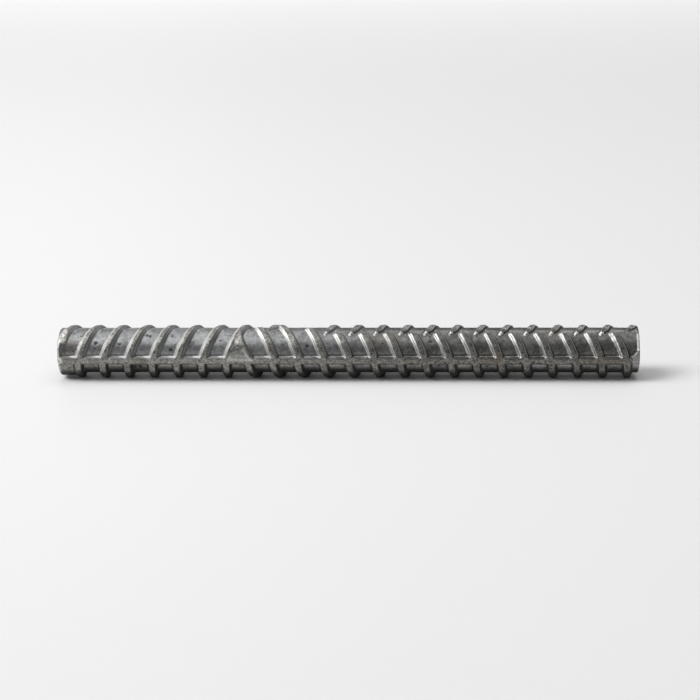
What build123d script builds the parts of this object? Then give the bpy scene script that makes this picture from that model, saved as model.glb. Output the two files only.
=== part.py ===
"""A short cut length of deformed reinforcing bar, hot rolled as one piece of steel.

The solid is the bar's plain round envelope, with its diameter taken over the crests of the ribs.
The ribs are fine relief on that round, and are not part of the solid.
The bar lies along X, centred on the origin, with its underside at Z = 0.
"""

import os

from build123d import *

# Bar, in millimetres
bar_length = 200.0
diameter_over_ribs = 18.2

# Edge left by the cut at each end
end_chamfer = 0.4

bar_radius = diameter_over_ribs / 2

# Round section, extruded both ways from the middle of the bar, with its end edges broken
with BuildPart() as rebar:
    with BuildSketch(Plane.YZ):
        with Locations((0, bar_radius)):
            Circle(bar_radius)
    extrude(amount=bar_length / 2, both=True)
    chamfer(rebar.faces().filter_by(Axis.X).edges(), end_chamfer)

rebar.part.label = "rebar"
os.makedirs("parts", exist_ok=True)
export_step(rebar.part, "parts/rebar.step")
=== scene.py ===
from math import atan, atan2, cos, degrees, hypot, pi, radians, sin, tan

import bmesh
import bpy
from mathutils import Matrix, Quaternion, Vector, noise


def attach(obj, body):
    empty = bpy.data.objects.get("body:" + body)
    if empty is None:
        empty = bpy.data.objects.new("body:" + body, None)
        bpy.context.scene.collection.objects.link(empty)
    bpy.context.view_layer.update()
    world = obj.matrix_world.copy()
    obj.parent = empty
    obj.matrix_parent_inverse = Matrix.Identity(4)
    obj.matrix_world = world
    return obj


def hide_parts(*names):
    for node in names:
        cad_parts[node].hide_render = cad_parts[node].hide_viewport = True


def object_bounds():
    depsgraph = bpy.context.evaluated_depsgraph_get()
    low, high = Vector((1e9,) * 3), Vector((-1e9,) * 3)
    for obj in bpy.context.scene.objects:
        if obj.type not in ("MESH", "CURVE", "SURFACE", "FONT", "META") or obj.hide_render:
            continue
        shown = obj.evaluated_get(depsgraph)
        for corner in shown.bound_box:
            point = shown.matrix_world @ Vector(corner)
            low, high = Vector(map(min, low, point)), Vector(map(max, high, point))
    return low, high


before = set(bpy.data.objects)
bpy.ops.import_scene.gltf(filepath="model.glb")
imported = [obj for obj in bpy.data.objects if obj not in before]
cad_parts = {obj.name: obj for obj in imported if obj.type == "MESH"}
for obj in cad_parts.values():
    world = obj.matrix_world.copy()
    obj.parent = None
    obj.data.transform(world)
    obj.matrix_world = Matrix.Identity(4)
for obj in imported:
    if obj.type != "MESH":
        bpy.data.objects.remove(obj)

cad_low, cad_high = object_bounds()

# The bar is one piece of hot-rolled carbon steel. The rolls left a lengthwise rib on each side, where
# they met, and pressed slanted cross ribs up out of the round core, to key into concrete. Angles go
# round the bar's axis in degrees: 0 faces the front, 90 is the top and -90 the underside.
mm = 0.001
bar_end = cad_high.x
axis_height = (cad_low.z + cad_high.z) / 2
crest_radius = (cad_high.z - cad_low.z) / 2
core_radius = crest_radius - 1.35 * mm
core_lift = 0.35 * mm
end_break = 0.4 * mm
tube_end = bar_end - end_break
arc = radians(1) * crest_radius
seam_angle = -9.0
back_seam_angle = seam_angle + 180
ease_share = 0.25


def eased(share):
    """A slope from 0 to 1 that is eased a little at its foot and its top."""
    share = min(max(share, 0.0), 1.0)
    return (1 - ease_share) * share + ease_share * share * share * (3 - 2 * share)


def outside(side, end):
    """Distance outside a flat crest, from how far a place is past its side and past its end."""
    return hypot(max(side, 0), max(end, 0)) + min(max(side, end), 0)


# The cross ribs stand at one spacing and are counted from the left end. Each has a flat crest between two
# slopes, the left side's and the right side's. Left sides get a painted highlight, and right sides get
# painted shade. A distance outside a rib is a share of its slope.
rib_pitch = 8.58 * mm
first_rib = -bar_end + 6.9 * mm
left_last = 6
leg_number = 7
right_last = 22
end_slope = 0.9 * mm
bright_side, dark_side = 0, 1
# The tone of a lit side paints its highlight, and the tone of a shaded side paints its shade
side_tones = (1.0, -1.0)


def right_of(x, number, shift):
    """How far a place is to the right of the middle of a cross rib."""
    return x - first_rib - number * rib_pitch - shift


def nearest(x, shift, first, last):
    """The number of the rib of a row that is nearest to a place along the bar."""
    return min(max(round((x - first_rib - shift) / rib_pitch), first), last)


def past_rib(x, number, shift, crest, slopes):
    """How far a place is past the side of a cross rib's crest, as a share of the slope, and on which side."""
    along = right_of(x, number, shift)
    side = dark_side if along > 0 else bright_side
    return (abs(along) - crest / 2) / slopes[side], side


# Left of the crossover the cross ribs lean to the right and run on over the top to the back. Low on the
# front, their right sides flare out.
left_first = -2
left_crest = 1.2 * mm
left_slopes = (1.2 * mm, 1.5 * mm)
left_flare = 0.7 * mm
left_flare_top = 24.0
left_lean = 0.058 * mm
left_turn_angle = 105.0


def left_shift(angle):
    """How far a left-hand rib has moved along the bar, from the front seam up and over to the back."""
    if angle <= left_turn_angle:
        return (angle - seam_angle) * left_lean
    turned = (left_turn_angle - seam_angle) * left_lean
    rest = (angle - left_turn_angle) / (back_seam_angle - left_turn_angle)
    return turned + rest * (rib_pitch - turned)


def left_ribs(x, angle):
    """Distance outside the nearest left-hand rib, and the side of it."""
    shift = left_shift(angle)
    past, side = past_rib(x, nearest(x, shift, left_first, left_last), shift, left_crest, left_slopes)
    flare = left_flare * eased((left_flare_top - angle) / (left_flare_top - seam_angle))
    return past - flare / left_slopes[side] * side, side


# Right of the crossover a front row leans to the left. It stops short of the top, apart from its first
# three ribs, which reach higher.
right_crest = 1.85 * mm
right_slopes = (1.15 * mm, 0.8 * mm)
front_lean = 0.0485 * mm
front_bend = 0.00017 * mm
front_stops = {8: 82.0, 9: 104.0, 10: 78.0}
front_stop = 58.0


def front_shift(angle):
    """How far a right-hand rib has moved along the bar on its way up the front."""
    turn = angle - seam_angle
    return -front_lean * turn - front_bend * turn * turn


def front_ribs(x, angle):
    """Distance outside the nearest right-hand rib of the front row, and the side of it."""
    shift = front_shift(angle)
    number = nearest(x, shift, leg_number + 1, right_last)
    past, side = past_rib(x, number, shift, right_crest, right_slopes)
    return outside(past, (angle - front_stops.get(number, front_stop)) * arc / end_slope), side


# A back row of hooks starts between the ends of the front row. Their tips are cut on a slant, and their
# left sides get the painted highlight only near the tip: from tip_top down, over tip_fade degrees.
first_hook = 10
hook_crest = 1.3 * mm
hook_slopes = (0.95 * mm, 1.2 * mm)
hook_offset = 0.75 * mm
hook_offset_angle = 60.0
hook_lean = 0.043 * mm
hook_starts = {22: 77.0}
hook_start = 66.0
hook_slant = 0.9
tip_top = 71.0
tip_fade = 14.0

# One hook stands apart, just left of the front rib that runs on over the top
stray_hook = 8
stray_crest = 2.8 * mm
stray_shift = -2.6 * mm
stray_start = 84.0


def hook_shift(angle):
    """How far a hook of the back row has moved along the bar on its way from the top to the back."""
    return hook_offset + hook_lean * (angle - hook_offset_angle)


def hook(x, number, angle, shift, start, crest):
    """Distance outside one hook of the back row, whose tip is cut on a slant, and the side of it."""
    past, side = past_rib(x, number, shift, crest, hook_slopes)
    along = right_of(x, number, shift)
    return outside(past, ((start - angle) * arc + hook_slant * along) / end_slope), side


def hooks(x, angle):
    """Distance outside the nearest hook of the back row, and the side of it."""
    shift = hook_shift(angle)
    number = nearest(x, shift, first_hook, right_last)
    return min(
        hook(x, number, angle, shift, hook_starts.get(number, hook_start), hook_crest),
        hook(x, stray_hook, angle, shift + stray_shift, stray_start, stray_crest),
    )


# At the crossover a short leg leans back on the last left-hand rib, with the space between them filled.
# A step runs up across the filling, which is rough above it. Along the step runs a painted shadow line, and
# the filling takes a little of the painted highlight.
leg_lean = 0.1254 * mm
leg_bend = 0.00094 * mm
leg_stop = 62.0
web_share = 0.85
web_rise = 4.0
web_low_tone = 0.3
web_high_tone = 0.22
web_step_angle = 18.5
web_step_middle = -bar_end + 62.7 * mm
web_step_slant = 1.75 / mm
step_shadow_half = 1.3
step_shadow_tone = -1.0


def leg_shift(angle):
    """How far the crossover's leg has moved along the bar on its way up the front."""
    return leg_bend * angle * angle - leg_lean * angle


def leg(x, angle):
    """Distance outside the crossover's leg, and the side of it."""
    past, side = past_rib(x, leg_number, leg_shift(angle), left_crest, right_slopes)
    return outside(past, (angle - leg_stop) * arc / end_slope), side


def in_web(x, angle):
    """Whether a place is in the filled space between the crossover's leg and the last left-hand rib."""
    low = first_rib + left_last * rib_pitch + left_shift(angle)
    high = first_rib + leg_number * rib_pitch + leg_shift(angle)
    return seam_angle < angle and low < x < high


def above_web_step(x, angle):
    """How many degrees above the step across the crossover's filling a place is."""
    return angle - web_step_angle - web_step_slant * (x - web_step_middle)


def web(x, angle):
    """Height and tone of the filling at the crossover, with a painted shadow line along its step."""
    rise = above_web_step(x, angle)
    level = web_share + (1 - web_share) * eased(rise / web_rise)
    if abs(rise) < step_shadow_half:
        return level, step_shadow_tone
    return level, web_high_tone if rise > 0 else web_low_tone


# The ribs of the underside stand upright on the left, lag after the crossover and lean on the right. Left
# of the first of them, the cut raised the underside. Both sides of these ribs get painted shade.
under_crest = 1.9 * mm
under_slopes = (0.9 * mm, 0.95 * mm)
under_lag = 1.4 * mm
under_lag_end = 14
under_lag_run = 5
under_lean = 0.036 * mm
under_lean_loss = 0.0018 * mm
under_end_height = 0.6
under_tones = (-0.8, -1.0)


def under_shift(number, angle):
    """How far a rib of the underside has moved along the bar."""
    if number <= left_last:
        return 0.0
    lag = under_lag * min(max((under_lag_end - number) / under_lag_run, 0), 1)
    lean = under_lean - under_lean_loss * (number - leg_number)
    return lean * (seam_angle - angle) - lag


def under_ribs(x, angle):
    """Distance outside the nearest cross rib of the underside, and the side of it."""
    middle = nearest(x, 0, 0, right_last)
    numbers = [number for number in (middle - 1, middle, middle + 1) if 0 <= number <= right_last]
    return min(past_rib(x, n, under_shift(n, angle), under_crest, under_slopes) for n in numbers)


def at_left_end(x, angle):
    """Whether a place is on the underside between the left end and the first rib, which the cut raised."""
    return angle < seam_angle and x < first_rib


# The lengthwise ribs lie where the rolls met. At the right end the crests are bent down, and the front
# lengthwise rib widens upwards to a facet.
seam_crest_angle = 7.5
seam_slope = 0.5 * mm
facet_start = bar_end - 2.6 * mm
facet_drop = 0.4
facet_rise = 21.0

# The lengthwise rib's upper slope is painted: a dark edge of painted shade, a line of painted highlight,
# brightest near the next rib, and a dark foot of painted shade. Each pair is for the left of the bar and for
# the right, and each line starts at a share of the slope.
seam_edge_start = -0.6
seam_line_starts = (0.45, 0.6)
seam_foot_start = 1.3
seam_foot_end = 2.6
seam_edge_tones = (-0.5, -0.6)
seam_line_tones = (-0.22, 0.24)
seam_corner_reach = (3.4, 2.1)
seam_foot_tone = -0.9
seam_middle_share = 0.6
seam_share_rise = 1.5

# Its lower edge gets painted shade between the ribs of the underside
under_edge_start = -0.9
under_edge_tone = -0.6
under_edge_gap = 0.1


def seam_tone(x, seam, cross, side):
    """Painted highlight and shade of the lengthwise rib's upper slope, at a share of it, between the cross
    ribs.
    """
    right_share = eased(seam_middle_share + seam_share_rise * x / bar_end)
    pairs = (seam_line_starts, seam_edge_tones, seam_line_tones, seam_corner_reach)
    line_start, edge_tone, line_tone, reach = (a + (b - a) * right_share for a, b in pairs)
    if seam_edge_start < seam < line_start:
        return edge_tone
    if line_start <= seam < seam_foot_start:
        corner = eased((reach - cross) / (reach - 1)) if side == bright_side else 0
        return line_tone + (1 - line_tone) * corner
    return seam_foot_tone if seam_foot_start <= seam < seam_foot_end else 0.0


# All the ribs together make one relief, with fillets where cross ribs meet the lengthwise rib. A fillet's
# reach is a share of each of the two slopes. A slope's tone fades at its foot and its top.
cross_fillet = 0.7
seam_fillet = 1.1
tone_fade = 0.12


def cross_ribs(x, angle):
    """Distance outside the nearest cross rib, the side of it, and the tone of its slope there."""
    if angle <= seam_angle:
        cross, side = under_ribs(x, angle)
        return cross, side, under_tones[side]
    nearest_hook = hooks(x, angle)
    cross, side = min(left_ribs(x, angle), leg(x, angle), front_ribs(x, angle), nearest_hook)
    if side == bright_side and cross == nearest_hook[0]:
        return cross, side, eased((tip_top - angle) / tip_fade)
    return cross, side, side_tones[side]


def relief(x, angle):
    """Height of the surface, 0 on the core to 1 on the crests, and the tone of its slopes, -1 to 1, from
    painted shade to painted highlight.
    """
    seam_turn = min(abs(angle - middle) for middle in (seam_angle, back_seam_angle, back_seam_angle - 360))
    facet = max(x - facet_start, 0) / (bar_end - facet_start)
    seam_rise = facet * facet_rise if angle > seam_angle else 0
    seam = (seam_turn - seam_crest_angle - seam_rise) * arc / seam_slope
    seam_height = eased(1 - seam)
    cross, side, cross_tone = cross_ribs(x, angle)
    ribs = eased(1 - cross)
    if 0 < cross < cross_fillet and 0 < seam < seam_fillet:
        corner = seam_fillet * (1 - hypot(1 - cross / cross_fillet, 1 - seam / seam_fillet))
        ribs = max(ribs, eased(1 - corner))
    height = max(ribs, seam_height)
    tone = cross_tone if ribs >= seam_height else 0.0
    tone *= eased(height / tone_fade) * eased((1 - height) / tone_fade)
    if angle > seam_angle and cross > 1:
        tone = seam_tone(x, seam, cross, side)
    if at_left_end(x, angle):
        height = max(height, under_end_height)
    elif angle < seam_angle and cross > under_edge_gap and under_edge_start < seam < 0:
        tone = under_edge_tone
    if in_web(x, angle):
        level, tone = web(x, angle)
        height = max(height, level)
    return min(height, 1 - facet_drop * facet), tone


# The skin: a line along the bar is spun round its axis, and its points are moved out to the ribs. Rows are
# bunched at the lengthwise ribs, and columns lean with the cross ribs, to keep their edges clean. Wear,
# waves and wobbling edges are seeded noise, in lumps whose sizes are in millimetres.
columns = 650
rows = 148
row_bunching = 0.35
lean_change = 2 * rib_pitch
lean_end_fade = 12 * mm
lean_back_fade = 60
lean_under_fade = 90
noise_seed = 5
edge_wobble = 0.07 * mm
edge_lump = 2.2
crest_wear = 0.07 * mm
rough_wear = 0.35 * mm
wear_lump = 0.9
body_wave = 0.03 * mm
wave_lump = 3.5

# Pits in the core: millimetres along the bar, angle, millimetres across
pits = [
    (-86.7, 34, 1.1),
    (-91.9, 55, 0.6),
    (-69.2, 58, 0.9),
    (-68.2, 56, 0.7),
    (-60.7, 18, 1.3),
    (-78.4, 31, 0.7),
    (-60.4, 55, 0.6),
    (-13.5, 27, 0.8),
    (28.9, 37, 0.7),
    (87.0, 19, 0.9),
    (-71.6, -31, 1.6),
    (-73.4, -30, 1.2),
]
pit_depth = 0.16 * mm
pit_edge = 0.15

# Rust: millimetres along the bar, angle, millimetres across
rust_patches = [
    (-96.5, 19, 5.0),
    (-72.2, -23, 5.0),
    (10.8, 34, 3.0),
    (13.8, 46, 3.0),
    (70.5, 66, 3.0),
    (50, -7, 5.0),
    (85, -6, 3.0),
    (91, -8, 3.0),
]
rust_edge = 2.0
ragged_reach = 0.4
ragged_lump = 0.7

# Bare metal: burrs of the cut at the left end, with their lowest and highest angle and their reach along
# the bar, and the facet of the right end. A painted highlight shares the layer: along the rim of the right
# end, and along the lit edge of the crossover's leg below its step
burrs = [(-45, -14, 0.7 * mm), (-14, -2, 1.7 * mm), (-2, 32, 0.8 * mm), (32, 74, 2.9 * mm)]
burr_foot = 0.4
burr_fade = 0.4 * mm
burr_ragged = 0.5
burr_lump = 2.5
rim_glint_reach = 0.95 * mm
rim_glint_angles = (16, 62)
rim_glint_fade = 0.3 * mm
rim_glint_ragged = 0.4
rim_glint_lump = 1.5
facet_angle = 25
facet_foot = 0.5
facet_share = 0.18
leg_edge = 0.35
leg_glint_share = 0.6


def column_lean(x, angle):
    """How far a column of the mesh leans along the bar, to follow the edges of the ribs."""
    crossover = first_rib + (left_last + 1) * rib_pitch
    right_side = eased((x - crossover) / lean_change + 0.5)
    end_fade = eased((tube_end - abs(x)) / lean_end_fade)
    if angle > seam_angle:
        turn = min(angle, front_stop)
        right = front_shift(turn) + hook_lean * (angle - turn)
        lean = (1 - right_side) * left_shift(angle) + right_side * right
        fade = eased((back_seam_angle - angle) / lean_back_fade)
    else:
        lean = right_side * under_shift(under_lag_end, angle)
        fade = eased((angle - back_seam_angle + 360) / lean_under_fade)
    return lean * end_fade * fade


def outward(angle):
    """The direction away from the bar's axis at an angle round it."""
    return Vector((0, -cos(radians(angle)), sin(radians(angle))))


def spot_at(along, angle):
    """A place on the core, in millimetres from the middle of the bar's axis."""
    return Vector((along, 0, 0)) + outward(angle) * core_radius / mm


def patches(spot, places, edge):
    """How deep in one of a list of ragged patches a place is, from 0 to 1."""
    ragged = spot + ragged_reach * noise.noise_vector(spot / ragged_lump)
    depths = [across / 2 + edge - (ragged - spot_at(along, angle)).length for along, angle, across in places]
    return eased(max(depths) / edge)


def bare_metal_and_glint(x, angle, height, spot):
    """How bare the steel is, and how strong the painted highlight at the right end's rim and the leg's edge,
    from 0 to 1.
    """
    burr_reach = sum(reach for low, high, reach in burrs if low < angle < high and height > burr_foot)
    burr_reach *= 1 + burr_ragged * noise.noise(spot / burr_lump)
    burr = eased((burr_reach - bar_end - x) / burr_fade)
    on_facet = height > facet_foot and abs(angle) < facet_angle
    facet = eased((x - facet_start) / rim_glint_fade) * on_facet
    # A painted highlight along the right end's rim
    low, high = rim_glint_angles
    wide_glint = rim_glint_reach * (1 + rim_glint_ragged * noise.noise(spot / rim_glint_lump))
    rim = eased((x - bar_end + wide_glint) / rim_glint_fade) * (low < angle < high)
    # A painted highlight along the leg's lit edge, below the step
    past, side = leg(x, angle)
    at_leg = side == bright_side and 0 < past < leg_edge
    lit_leg_edge = at_leg and in_web(x, angle) and above_web_step(x, angle) < 0
    return max(burr, facet * facet_share, rim, lit_leg_edge * leg_glint_share)


noise.seed_set(noise_seed)
steel = bmesh.new()
ends = [steel.verts.new((x, -core_radius, axis_height)) for x in (-tube_end, tube_end)]
line = steel.edges.new(ends)
bmesh.ops.subdivide_edges(steel, edges=[line], cuts=columns - 1)
bmesh.ops.spin(
    steel,
    geom=steel.verts[:] + steel.edges[:],
    cent=(0, 0, axis_height),
    axis=(1, 0, 0),
    angle=2 * pi,
    steps=rows,
    use_merge=True,
)
# The tone layer carries painted light: painted highlight above 0 and painted shade below 0
layer_names = ("crest", "tone", "pit", "rust", "bare_and_glint", "cut")
layers = {name: steel.verts.layers.float.new(name) for name in layer_names}
for vert in steel.verts:
    turn = degrees(atan2(vert.co.z - axis_height, -vert.co.y)) - seam_angle
    turn -= degrees(row_bunching / 2 * sin(radians(2 * turn)))
    angle = turn + seam_angle
    if angle >= back_seam_angle:
        angle -= 360
    x = vert.co.x + column_lean(vert.co.x, angle)
    spot = spot_at(x / mm, angle)
    out = outward(angle)
    wobble = noise.noise_vector(spot / edge_lump) * edge_wobble
    height, tone = relief(x + wobble.x, angle + wobble.y / arc)
    filled = in_web(x, angle)
    rough = at_left_end(x, angle) or (filled and above_web_step(x, angle) > 0)
    wear = height * (rough_wear if rough else crest_wear) * (0.5 + 0.5 * noise.noise(spot / wear_lump))
    wave = (1 - height) * body_wave * noise.noise(spot / wave_lump)
    pit = (1 - height) * patches(spot, pits, pit_edge)
    core = core_radius + core_lift * out.z
    radius = core + (crest_radius - core) * height - wear + wave - pit * pit_depth
    vert[layers["crest"]] = 1.0 if rough or filled else height
    vert[layers["tone"]] = tone
    vert[layers["pit"]] = pit
    vert[layers["rust"]] = patches(spot, rust_patches, rust_edge)
    vert[layers["bare_and_glint"]] = bare_metal_and_glint(x, angle, height, spot)
    vert.co = Vector((x, 0, axis_height)) + out * radius

# The cut ends were sheared square, with edges that are a little broken. Each rim runs in to its face, and
# the face is closed with rings of the rim's outline: how far each shrinks, and how far it moves out.
face_rings = [(1 - end_break / core_radius, end_break), (0.7, 0), (0.35, 0)]
for side in (-1, 1):
    rim = [edge for edge in steel.edges if edge.is_boundary and edge.verts[0].co.x * side > 0]
    for shrink, move in face_rings:
        made = bmesh.ops.extrude_edge_only(steel, edges=rim)["geom"]
        rim = [item for item in made if isinstance(item, bmesh.types.BMEdge)]
        ring = [item for item in made if isinstance(item, bmesh.types.BMVert)]
        for vert in ring:
            for name in layer_names:
                vert[layers[name]] = 1.0 if name == "cut" else 0.0
            vert.co = (
                vert.co.x + side * move,
                vert.co.y * shrink,
                axis_height + (vert.co.z - axis_height) * shrink,
            )
    bmesh.ops.holes_fill(steel, edges=rim)

bmesh.ops.recalc_face_normals(steel, faces=steel.faces[:])
for face in steel.faces:
    face.smooth = True
bar_mesh = bpy.data.meshes.new("ribbed_bar")
steel.to_mesh(bar_mesh)
steel.free()
bar = bpy.data.objects.new("ribbed_bar", bar_mesh)
bpy.context.scene.collection.objects.link(bar)


class Wire:
    """A shader socket. Sums on it add Math nodes, and node() adds any other node to its tree."""

    def __init__(self, tree, socket=None):
        self.tree = tree
        self.socket = socket

    def node(self, kind, settings, sockets, output=0):
        made = self.tree.nodes.new(kind)
        for name, value in settings.items():
            setattr(made, name, value)
        for name, value in sockets.items():
            if isinstance(value, Wire):
                self.tree.links.new(value.socket, made.inputs[name])
            else:
                made.inputs[name].default_value = value
        return Wire(self.tree, made.outputs[output])

    def sum(self, operation, one, other):
        return self.node("ShaderNodeMath", {"operation": operation}, {0: one, 1: other})

    def __add__(self, other):
        return self.sum("ADD", self, other)

    def __sub__(self, other):
        return self.sum("SUBTRACT", self, other)

    def __mul__(self, other):
        return self.sum("MULTIPLY", self, other)

    def __radd__(self, other):
        return self.sum("ADD", other, self)

    def __rsub__(self, other):
        return self.sum("SUBTRACT", other, self)

    def __rmul__(self, other):
        return self.sum("MULTIPLY", other, self)

    def step(self, low, high):
        sockets = {"Value": self, "From Min": low, "From Max": high}
        return self.node("ShaderNodeMapRange", {"interpolation_type": "SMOOTHSTEP"}, sockets)

    def band(self, rise, fall):
        return self.step(*rise) * (1 - self.step(*fall))

    def blend(self, one, other):
        return self.node("ShaderNodeMix", {"data_type": "RGBA"}, {0: self, 6: one, 7: other}, 2)


# Mill scale on the core, paler to the left, paler underneath on the right as painted light from the floor,
# and with painted shade at the bottom; a grainy worn skin on the crests, painted lighter and darker by
# height; painted highlight on the ribs' lit sides and painted shade on the others, bare metal at the cuts,
# some rust
core_left = (0.33, 0.337, 0.34, 1)
core_right = (0.172, 0.172, 0.167, 1)
# Underside colours, paler on the right as painted light from the floor
under_bounce_left = (0.31, 0.303, 0.285, 1)
under_bounce_right = (0.35, 0.348, 0.342, 1)
crest_left = (0.36, 0.356, 0.332, 1)
crest_right = (0.255, 0.247, 0.224, 1)
# Crest colours by height: painted highlight on the left, painted shade on the right, painted reflection at
# the top
crest_highlight_left = (0.52, 0.515, 0.48, 1)
crest_shade_right = (0.155, 0.15, 0.137, 1)
crest_top_reflection = (0.48, 0.475, 0.449, 1)
crest_pit_left = (0.1, 0.098, 0.09, 1)
crest_pit_right = (0.05, 0.049, 0.045, 1)
# Painted highlight on the ribs' lit sides: its dark streaks, its dimmed low part, its main colour and its
# tips
highlight_dark_left = (0.5, 0.5, 0.49, 1)
highlight_dark_right = (0.13, 0.13, 0.127, 1)
highlight_low_left = (0.33, 0.33, 0.323, 1)
highlight_left = (0.82, 0.82, 0.8, 1)
highlight_right = (0.72, 0.72, 0.7, 1)
highlight_tip = (0.92, 0.92, 0.9, 1)
# Painted shade on the ribs' shaded sides, darkest underneath
shade_left = (0.12, 0.12, 0.116, 1)
shade_right = (0.05, 0.05, 0.048, 1)
shade_under = (0.03, 0.029, 0.027, 1)
# Painted highlight along the crests' edges
edge_highlight_colour = (0.6, 0.59, 0.56, 1)
rust_brown = (0.13, 0.102, 0.078, 1)
smudge_brown = (0.05, 0.044, 0.037, 1)
# Pale bare metal, also the colour of the painted highlights at the right end's rim and the leg's edge
bare_and_glint_pale = (0.74, 0.735, 0.71, 1)
bare_crack = (0.3, 0.28, 0.25, 1)
# Near black for blotches, specks and pits, and for the painted shade at the bottom
black_dirt_and_shade = (0.012, 0.011, 0.01, 1)

# Where looks begin and end, as millimetres along the bar
dim_run = (-60.0, 40.0)
uncracked_run = (-1, 1)
first_three_runs = ((-36, -32), (-6, -3))

# As millimetres above the floor
# Heights of the painted shade at the bottom of the bar, near the floor
bottom_shade_heights = (3.6, 6.05)
bottom_shade_crest_drop = 1.2
under_heights = (6.5, 8.0)
low_heights = ((8.8, 10.4), (10, 16.5))
line_heights = (9.3, 9.8)
# Heights of the crests' painted shade, painted highlight and painted reflection
crest_shade_heights = (11, 15)
crest_highlight_heights = ((12.5, 15), (15.8, 16.6))
tip_heights = (15.8, 16.6)
top_reflection_heights = (17.4, 18.1)

# And as shares of a rib's height, or of a tone
crest_levels = (0.8, 0.98)
edge_highlight_levels = ((0.55, 0.7), (0.85, 0.97))
lit_line_levels = ((0.25, 0.4), (0.6, 0.75))
highlight_band_levels = ((0.28, 0.42), (0.5, 0.64))
tone_levels = (0.1, 0.7)

# How much of each look shows
smudge_share = 0.6
bottom_shade_share = 0.95
shade_share = 0.85
lit_line_in_shade_share = 0.4
edge_highlight_share = 0.8
pit_share = 0.8

bar_steel = bpy.data.materials.new("mill_scale_steel")
bar_steel.use_nodes = True
shader = bar_steel.node_tree.nodes["Principled BSDF"]
start = Wire(bar_steel.node_tree)
object_place = start.node("ShaderNodeTexCoord", {}, {}, "Object")
place_mm = start.node("ShaderNodeVectorMath", {"operation": "SCALE"}, {0: object_place, "Scale": 1 / mm})
along_mm = start.node("ShaderNodeSeparateXYZ", {}, {"Vector": place_mm}, "X")
height_mm = start.node("ShaderNodeSeparateXYZ", {}, {"Vector": place_mm}, "Z")


def layer(name):
    """A value that the mesh carries at each of its points."""
    return start.node("ShaderNodeAttribute", {"attribute_name": name}, {}, "Fac")


def stretched(factors, move=(0, 0, 0)):
    """The place in millimetres, times a factor along each axis, and moved."""
    sockets = {0: place_mm, 1: factors, 2: move}
    return start.node("ShaderNodeVectorMath", {"operation": "MULTIPLY_ADD"}, sockets)


def lumps(place, scale, detail, roughness=0.5):
    """Noise with so many lumps to each unit of a place."""
    sockets = {"Vector": place, "Scale": scale, "Detail": detail, "Roughness": roughness}
    return start.node("ShaderNodeTexNoise", {}, sockets)


def grain(size, detail=3.0):
    """Noise whose lumps are about size millimetres across."""
    return lumps(place_mm, 1 / size, detail, 0.6)


# Where the bar gets painted highlight and painted shade, where it is bare or carries a painted highlight,
# where it is darker to the right, and where it gets painted floor light underneath and painted shade at the
# bottom, from the values that the mesh carries and from place
crest = layer("crest").step(*crest_levels)
# Painted highlight: the ribs' lit sides, the hook tips, the lengthwise rib's light line, and a little on the
# filling
painted_highlight = layer("tone").step(*tone_levels)
# This mask is painted shade: the ribs' shaded sides, the ribs of the underside, the lengthwise rib's dark
# edges and foot, and the line at the web's step
scale = (0.0 - layer("tone")).step(*tone_levels)
# Bare metal, and the painted highlight at the right end's rim and the leg's edge
bare_and_glint = layer("bare_and_glint")
dim = along_mm.step(*dim_run)
under = 1 - height_mm.step(*under_heights)
# Painted shade at the bottom of the bar, near the floor
bottom_shade = 1 - (height_mm + bottom_shade_crest_drop * crest).step(*bottom_shade_heights)
high_up = height_mm.step(*tip_heights)
# Painted shade dims the painted highlight low down, near the lengthwise rib
low_down = (0.95 - 0.65 * dim) * height_mm.band(*low_heights)
# A painted highlight along the crests' edges on the right
edge_highlight = layer("crest").band(*edge_highlight_levels) * scale * dim * height_mm.step(*line_heights)
# A pale painted line in the middle of the painted shade, on the left
lit_line_in_shade = layer("crest").band(*lit_line_levels) * scale * (1 - dim) * height_mm.step(*line_heights)
# A darker band along the middle of the painted highlight
highlight_dark_band = (0.6 + 0.35 * along_mm.band(*first_three_runs)) * layer("crest").band(*highlight_band_levels)

# The grain of each skin. The crests' is drawn out along the bar, and the painted highlights' along the ribs.
mottle = grain(1.7).step(0.3, 0.7)
patchy = (0.3 * grain(0.5) + 0.3 * grain(1.3) + 0.4 * grain(4.0)).step(0.38, 0.6)
blotches = 1 - (0.45 + 0.2 * dim) * (1 - patchy)
smudges = grain(2.4, 5.0).step(0.56, 0.72)
rolled_grain = lumps(stretched((0.45, 1, 1)), 3.0, 3.0, 0.6)
speckle = (0.6 * rolled_grain + 0.4 * grain(1.5)).step(0.36, 0.64)
specks = grain(0.9, 1.0).step(0.7, 0.76)
cracks = (grain(0.8) + along_mm.step(*uncracked_run)).step(0.38, 0.56)
peening = 1 - (0.5 - 0.5 * dim) * (1 - grain(0.45, 1.0).step(0.43, 0.53))
up_slope = start.node("ShaderNodeCombineXYZ", {}, {"X": layer("crest") * 6.0})
streak_noise = lumps(stretched((0.12, 0.3, 0.3), up_slope), 1.0, 2.0)
streaks = (streak_noise.step(0.42, 0.56) * peening + 0.5 * high_up * dim) * (1 - highlight_dark_band) + crest

# The core, with painted floor light underneath, and the crests, painted lighter and darker by height; rust
# and smudges on them, and painted shade at the bottom
# Underneath, the core is painted paler on the right as painted light from the floor
core_colour = under.blend(dim.blend(core_left, core_right), dim.blend(under_bounce_left, under_bounce_right))
core_skin = blotches.blend(black_dirt_and_shade, core_colour)
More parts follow.
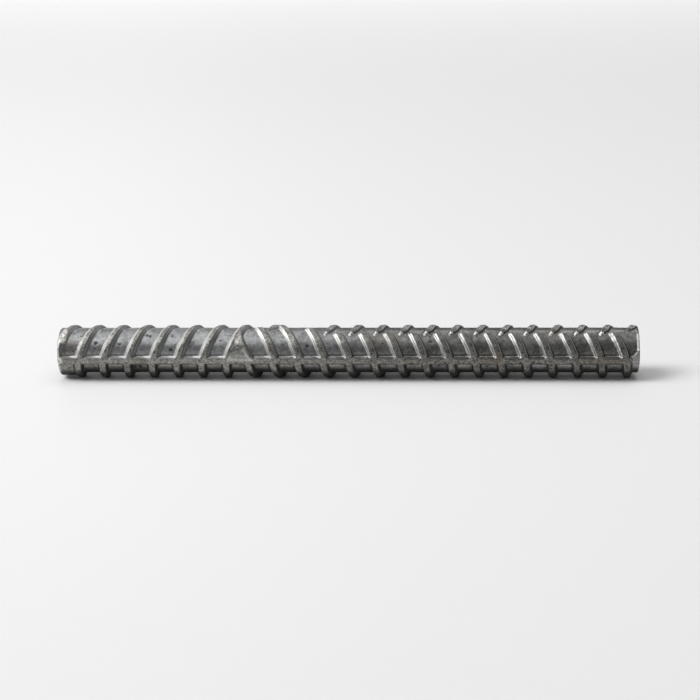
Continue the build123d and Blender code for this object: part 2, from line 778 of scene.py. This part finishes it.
# The crests are painted lighter and darker by height, as painted highlight, shade and reflection
crest_lit_band = height_mm.band(*crest_highlight_heights).blend(crest_left, crest_highlight_left)
crest_shaded_band = height_mm.step(*crest_shade_heights).blend(crest_right, crest_shade_right)
crest_colour = height_mm.step(*top_reflection_heights).blend(dim.blend(crest_lit_band, crest_shaded_band), crest_top_reflection)
crest_skin = speckle.blend(dim.blend(crest_pit_left, crest_pit_right), crest_colour)
skin = crest.blend(core_skin, crest_skin)
skin = (layer("rust") * (0.2 + 0.4 * mottle)).blend(skin, rust_brown)
skin = (smudge_share * smudges * (1 - crest)).blend(skin, smudge_brown)
skin = (bottom_shade_share * bottom_shade).blend(skin, black_dirt_and_shade)

# The sides of the ribs: painted highlight on the lit sides, streaked and dimmed low down, and painted shade
# on the others, with a pale painted line in it; a painted highlight along crest edges; bare metal with its
# painted highlights; and the pits over all
highlight_dark = dim.blend(highlight_dark_left, highlight_dark_right)
highlight_low = dim.blend(highlight_low_left, highlight_dark_right)
highlight_colour = (high_up * dim).blend(dim.blend(highlight_left, highlight_right), highlight_tip)
skin = painted_highlight.blend(skin, low_down.blend(streaks.blend(highlight_dark, highlight_colour), highlight_low))
shade_colour = under.blend(dim.blend(shade_left, shade_right), shade_under)
skin = (shade_share * scale).blend(skin, shade_colour)
skin = (lit_line_in_shade_share * lit_line_in_shade).blend(skin, core_left)
skin = (edge_highlight_share * edge_highlight).blend(skin, edge_highlight_colour)
skin = bare_and_glint.blend(skin, cracks.blend(bare_crack, bare_and_glint_pale))
skin = (specks * (1 - crest) * (1 - painted_highlight) + pit_share * layer("pit")).blend(skin, black_dirt_and_shade)

# The cut faces are smooth above, where the blade dragged over the steel, and torn below. The line between
# the two wanders by a few millimetres.
cut_smooth = (0.46, 0.455, 0.44, 1)
cut_torn = (0.25, 0.243, 0.23, 1)
cut_line = (0.13, 0.127, 0.12, 1)
torn_heights = (10.5, 12.5)
torn_wander = 4.0
cut = layer("cut")
torn = 1 - (height_mm + torn_wander * grain(3.0)).step(*torn_heights)
drag_lines = lumps(stretched((1, 1, 0.12)), 2.0, 3.0)
cut_marks = torn.blend(drag_lines, grain(0.8)).step(0.38, 0.6)
skin = cut.blend(skin, cut_marks.blend(cut_line, torn.blend(cut_smooth, cut_torn)))

# The painted shade of the ribs' sides and of the bottom, and the cuts, are duller than the core, and the
# painted highlight, bare metal and the painted shade at the bottom are less metallic. The grain of crests and
# cuts stands out a little.
roughness = 0.32 + 0.08 * mottle + 0.02 * crest + 0.04 * painted_highlight + 0.2 * scale + 0.3 * bottom_shade + 0.15 * cut
metallic = 0.92 - 0.42 * painted_highlight - 0.75 * bare_and_glint - 0.5 * bottom_shade
grit = crest * speckle + 0.2 * (1 - crest) * grain(0.7) + cut * cut_marks
bump = start.node("ShaderNodeBump", {}, {"Strength": 0.6, "Distance": 0.06 * mm, "Height": grit})
looks = {"Base Color": skin, "Roughness": roughness, "Metallic": metallic, "Normal": bump}
for socket, value in looks.items():
    start.tree.links.new(value.socket, shader.inputs[socket])
bar_mesh.materials.append(bar_steel)

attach(bar, "root")
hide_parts("rebar")

# The floor is a plain pale sheet with a faint gloss. It stands for the studio table under the bar, and
# is wide enough to fill the view behind it.
floor_half = 12.0
floor_looks = {"Base Color": (0.86, 0.86, 0.86, 1), "Roughness": 0.5, "Specular IOR Level": 0.25}
floor_bm = bmesh.new()
bmesh.ops.create_grid(floor_bm, x_segments=1, y_segments=1, size=floor_half)
floor_mesh = bpy.data.meshes.new("floor")
floor_bm.to_mesh(floor_mesh)
floor_bm.free()
floor = bpy.data.objects.new("floor", floor_mesh)
bpy.context.scene.collection.objects.link(floor)
floor_paint = bpy.data.materials.new("pale_floor")
floor_paint.use_nodes = True
floor_shader = floor_paint.node_tree.nodes["Principled BSDF"]
for socket, value in floor_looks.items():
    floor_shader.inputs[socket].default_value = value
floor_mesh.materials.append(floor_paint)

# The light is a soft studio: a panel overhead, with a key on the left and a wash behind for the floor.
# The steel shows five more: two over the left half, a strip behind on the right, one low on the left and
# one low behind.
bar_middle = Vector((0, 0, axis_height))
room_strength = 0.29


def panel(name, stand, target, width, depth, radiance, spread=180, on_floor=True, in_steel=True):
    """A light panel that faces a target, and that dull and shiny surfaces show or leave out."""
    light = bpy.data.lights.new(name, "AREA")
    light.shape = "RECTANGLE"
    light.size = width
    light.size_y = depth
    light.energy = radiance * pi * width * depth
    light.spread = radians(spread)
    lamp = bpy.data.objects.new(name, light)
    bpy.context.scene.collection.objects.link(lamp)
    lamp.location = stand
    lamp.visible_diffuse = on_floor
    lamp.visible_glossy = in_steel
    lamp.rotation_euler = (Vector(target) - Vector(stand)).to_track_quat("-Z", "Y").to_euler()


panel("top_panel", (0.5, 0.2, 2.0), (0.5, 0.2, 0), 2.2, 1.9, 0.82)
panel("key_panel", (-1.25, -0.42, 1.39), (0.1, 0.42, 0), 1.25, 1.2, 2.15, spread=90, in_steel=False)
panel("wash_panel", (-0.2, 2.0, 1.6), (-0.2, 2.0, 0), 2.6, 1.0, 1.5, spread=90, in_steel=False)
panel("accent_panel", (-0.75, 0.45, 1.5), (-0.75, 0.45, 0), 1.1, 4.1, 0.38, on_floor=False)
panel("front_accent_panel", (-0.75, -0.5, 1.5), (-0.75, -0.5, 0), 1.1, 0.7, 8.5, on_floor=False)
panel("strip_panel", (0.9, 1.5, 2.0), (0.9, 1.5, 0), 2.0, 0.4, 6.0, on_floor=False)
panel("left_panel", (-1.4, 0.0, 0.5), bar_middle, 0.9, 0.8, 4.5, on_floor=False)
panel("back_panel", (-1.3, 2.6, 0.9), bar_middle, 2.0, 0.9, 0.8, on_floor=False)
room = bpy.data.worlds.new("room")
bpy.context.scene.world = room
room.use_nodes = True
room.node_tree.nodes["Background"].inputs["Color"].default_value = (1, 1, 1, 1)
room.node_tree.nodes["Background"].inputs["Strength"].default_value = room_strength
bpy.context.scene.view_settings.view_transform = "Standard"

# The camera stands in front of the bar, a little to its right and a little above it, and is rolled to show
# the bar level. Its lens gives each pixel of the picture view_scale metres at the bar.
view_azimuth = radians(3.0)
view_elevation = radians(15.0)
view_distance = 0.72
view_scale = 0.3467 * mm
picture_pixels = 700
aim = Vector((0.75 * mm, 0, axis_height + 0.34 * mm))
back = Vector(
    (
        sin(view_azimuth) * cos(view_elevation),
        -cos(view_azimuth) * cos(view_elevation),
        sin(view_elevation),
    )
)
lens = bpy.data.cameras.new("camera")
lens.lens = lens.sensor_width * view_distance / (view_scale * picture_pixels)
camera = bpy.data.objects.new("camera", lens)
bpy.context.scene.collection.objects.link(camera)
camera.location = aim + back * view_distance
level_roll = -atan(tan(view_azimuth) * sin(view_elevation))
upright = (-back).to_track_quat("-Z", "Y")
camera.rotation_euler = (upright @ Quaternion((0, 0, 1), level_roll)).to_euler()
bpy.context.scene.camera = camera
